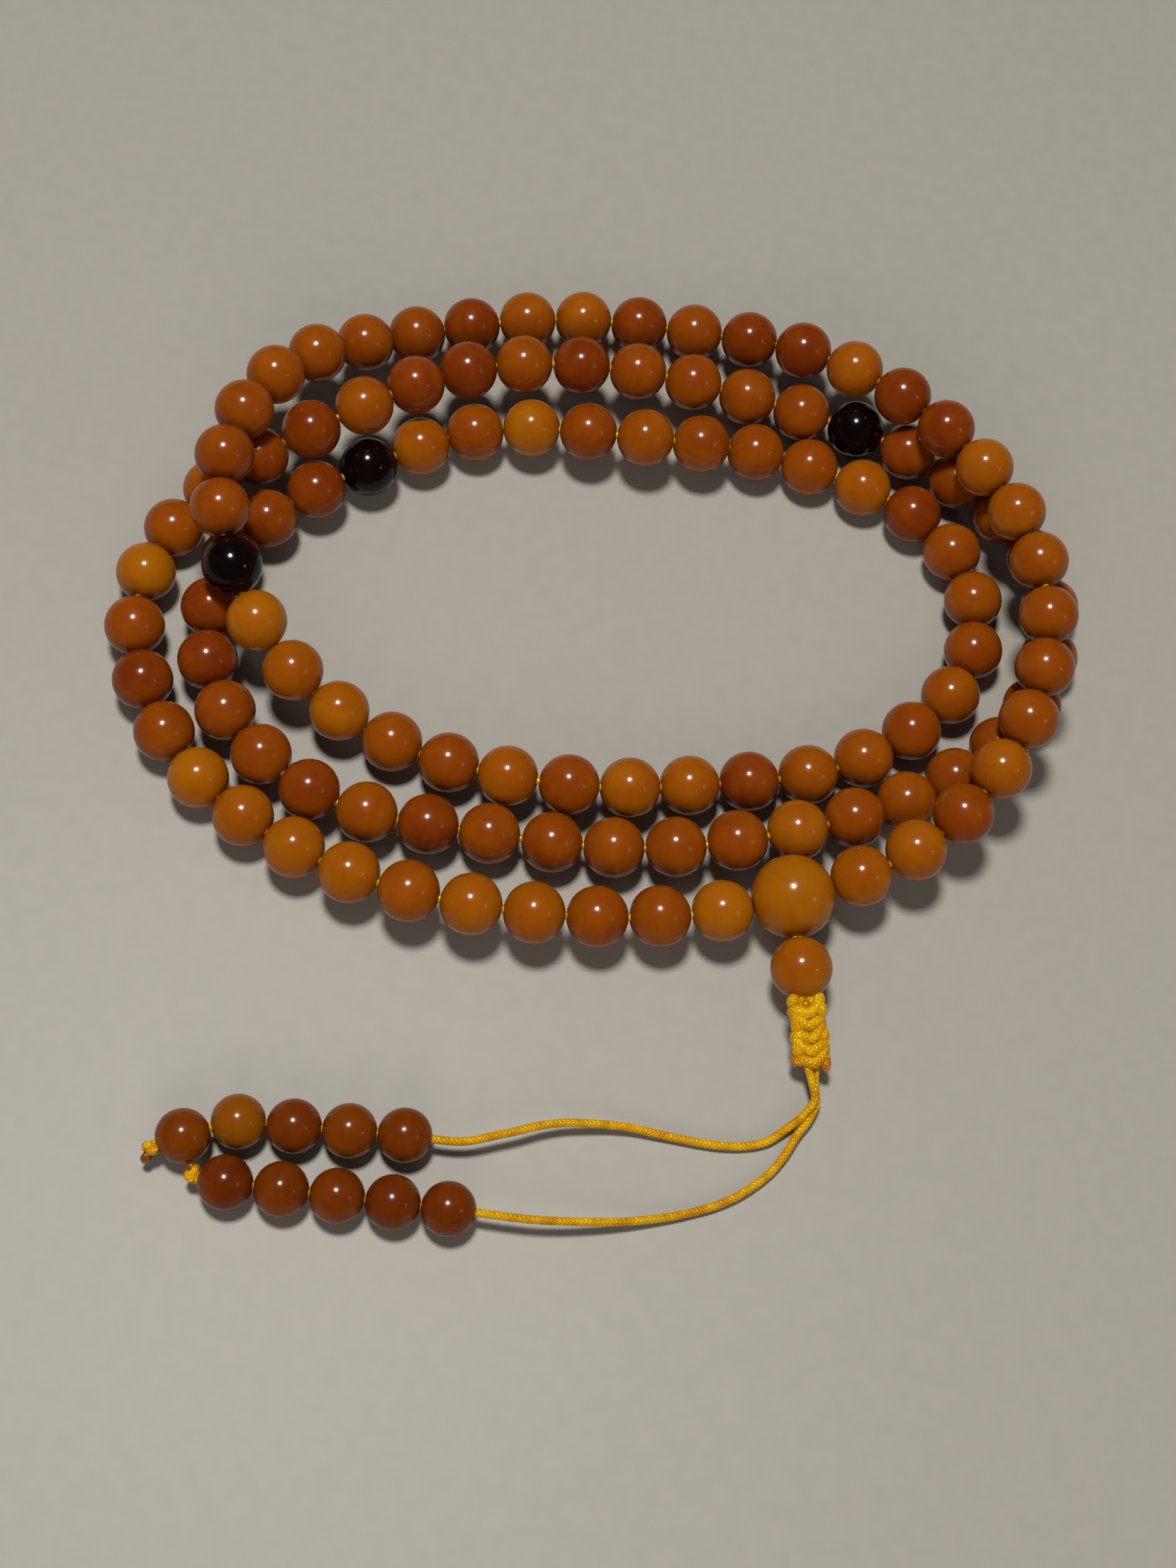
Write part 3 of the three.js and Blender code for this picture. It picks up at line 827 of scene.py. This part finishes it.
def knot_path(lead):
    """One working cord of the flat knot, as (across, along, up). The lead cord crosses in front of the core
    each time, and the other crosses behind it and comes up at the edges to hold the lead down."""
    pitch = (KNOT_LENGTH - KNOT_START - KNOT_FINISH) / HALF_KNOTS
    path = [(-0.7 if lead else 0.7, KNOT_START + 0.4, -0.5)]
    for k in range(12 * HALF_KNOTS + 1):
        turn = k / 12
        sway = math.cos(math.pi * turn)
        crossing = math.sin(math.pi * turn) ** 2
        travelled = KNOT_START + pitch * (turn + 0.15 * math.sin(2 * math.pi * turn))
        looseness = 1 + 0.07 * math.sin(2.1 * turn + 0.6)
        if lead:
            width = -KNOT_HALF_WIDTH * sway * looseness
            height = 0.1 + (KNOT_TOP - 0.1) * crossing**0.6
            travelled += KNOT_SAG * (1.02 - math.sqrt(sway**2 + 0.05))
        else:
            width = KNOT_HALF_WIDTH * math.copysign(abs(sway) ** 0.5, sway) * looseness
            height = 0.75 + (KNOT_BOTTOM - 0.75) * crossing**0.7
        path.append((width, travelled, height))
    return path


def flat_knot():
    """A sliding flat knot: two cords tied over the pendant cords, their cut ends melted into lumps."""
    start, basis = knot_frame()
    for lead, name in ((True, "over"), (False, "under")):
        cord = Cord(start + np.array(knot_path(lead)) @ basis, BRAID_STEP)
        piece = braid(f"flat_knot_cord_{name}", cord, 0, cord.count, KNOT_CORD)
        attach(piece, "flat_knot")
        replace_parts(piece, "flat_knot")
    for name, place, half_sizes in (
        ("right", MELTED_RIGHT, MELTED_RIGHT_SIZES),
        ("left", MELTED_LEFT, MELTED_LEFT_SIZES),
    ):
        lump = melted_lump(f"melted_end_{name}", start + np.array(place) @ basis, half_sizes, basis, MELTED)
        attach(lump, "flat_knot")


def melted_lump(name, centre, half_sizes, basis, material):
    """A small blob of melted cord, uneven like wax. Its half sizes are along the rows of basis."""
    bands, sides = 16, 24
    vertices = [(0, 0, 1)]
    for i in range(1, bands):
        polar = math.pi * i / bands
        for j in range(sides):
            angle = 2 * math.pi * j / sides
            wobble = 1 + 0.05 * math.sin(3 * angle + 2 * polar) + 0.04 * math.cos(2 * angle - 5 * polar)
            flat = wobble * math.sin(polar)
            vertices.append((flat * math.cos(angle), flat * math.sin(angle), wobble * math.cos(polar)))
    vertices.append((0, 0, -1))
    last = len(vertices) - 1
    faces = []
    for j in range(sides):
        turn = (j + 1) % sides
        faces.append((0, 1 + j, 1 + turn))
        faces.append((last, last - sides + turn, last - sides + j))
    for i in range(bands - 2):
        row = 1 + i * sides
        for j in range(sides):
            turn = (j + 1) % sides
            faces.append((row + j, row + sides + j, row + sides + turn, row + turn))
    piece = new_piece(name, (np.array(vertices) * half_sizes) @ basis, faces, material)
    piece.location = Vector(centre) * MM
    return piece


def end_knot(tail, cord):
    """An overhand knot pulled tight against the last counter, with its cut end melted to a brown bead."""
    mouth = cord.place[-1]
    direction = unit(middle(f"end_knot_{tail}") - mouth)
    turn = np.array(turned(direction, END_KNOT_SPIN))
    angles = np.linspace(0, 2 * math.pi, 49)
    trefoil = np.stack(
        [
            np.sin(angles) + 1.6 * np.sin(2 * angles),
            np.cos(angles) - 1.6 * np.cos(2 * angles),
            -0.9 * np.sin(3 * angles),
        ],
        axis=1,
    )
    centre = mouth + direction * END_KNOT_REACH + END_KNOT_SHIFT[tail]
    path = Cord(centre + (trefoil * END_KNOT_SCALE) @ turn.T, BRAID_STEP)
    knot = braid(f"end_knot_braid_{tail}", path, 0, path.count, END_KNOT_CORD)
    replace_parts(knot, f"end_knot_{tail}")
    out = unit(np.array(TIP_DIRECTION[tail]))
    outward = np.array(turned(out, 0)).T
    tip_centre = centre + out * TIP_REACH[tail]
    tip = melted_lump(f"end_knot_tip_{tail}", tip_centre, TIP_HALF_SIZES[tail], outward, BURNT)
    for piece in (knot, tip):
        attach(piece, f"tail_{tail}_lower")


# ---- stage ----


def floor():
    reach = FLOOR_REACH
    vertices = [(-reach, -reach, 0), (reach, -reach, 0), (reach, reach, 0), (-reach, reach, 0)]
    piece = new_piece("floor", vertices, [(0, 1, 2, 3)], FLOOR)
    piece.location.z = -FLOOR_DROP * MM


def disc_light(name, direction, distance, size, power, colour):
    light = bpy.data.lights.new(name, "AREA")
    light.shape = "DISK"
    light.size = size
    light.energy = power
    light.color = colour
    lamp = bpy.data.objects.new(name, light)
    lamp.location = Vector(direction).normalized() * distance
    lamp.rotation_euler = Vector(direction).to_track_quat("Z", "Y").to_euler()
    bpy.context.scene.collection.objects.link(lamp)
    return lamp


def studio():
    """A small key light overhead, a glint from the right, and a fill that lights the near sides unseen."""
    disc_light("key", KEY_DIRECTION, KEY_DISTANCE, KEY_SIZE, KEY_POWER, (1.0, 0.97, 0.92))
    disc_light("glint", SIDE_DIRECTION, SIDE_DISTANCE, SIDE_SIZE, SIDE_POWER, (1.0, 0.9, 0.75))
    fill_light = disc_light("fill", FILL_DIRECTION, FILL_DISTANCE, FILL_SIZE, FILL_POWER, (1.0, 0.95, 0.88))
    fill_light.visible_glossy = False
    world = bpy.data.worlds.new("studio")
    bpy.context.scene.world = world
    world.use_nodes = True
    background = world.node_tree.nodes["Background"]
    background.inputs["Color"].default_value = (1.0, 0.97, 0.93, 1)
    background.inputs["Strength"].default_value = SKY_STRENGTH
    bpy.context.scene.view_settings.view_transform = "Standard"


def camera():
    lens = bpy.data.cameras.new("camera")
    lens.lens = CAMERA_LENS
    lens.clip_start = 0.01
    eye = bpy.data.objects.new("camera", lens)
    tilt = Matrix.Rotation(math.radians(90 - CAMERA_BELOW_HORIZON), 4, "X")
    roll = Matrix.Rotation(math.radians(CAMERA_ROLL), 4, "Z")
    eye.matrix_world = Matrix.Translation(Vector(CAMERA_PLACE) * MM) @ tilt @ roll
    bpy.context.scene.collection.objects.link(eye)
    bpy.context.scene.camera = eye


AMBER = amber("amber", 1.0)
COUNTER_AMBER = amber("counter_amber", 0.72)
DARK_STONE = dark_stone()
CORD = braided_cord()
MELTED = melted_cord("melted_cord", (0.62, 0.22, 0.01), (0.38, 0.10, 0.005))
BURNT = melted_cord("burnt_cord", (0.35, 0.10, 0.01), (0.10, 0.025, 0.004))
FLOOR = pale_floor()

guru_place = joint_place("guru_roll")
strung = strung_beads(guru_place)
strand_beads(strung, guru_place)
guru_and_tower(strung, guru_place, middle("tower_bead"))
strand_cords(strung, guru_place)
flat_knot()
for tail in ("a", "b"):
    counter_places = counters(tail)
    end_knot(tail, tail_cords(tail, guru_place, counter_places))
floor()
studio()
camera()
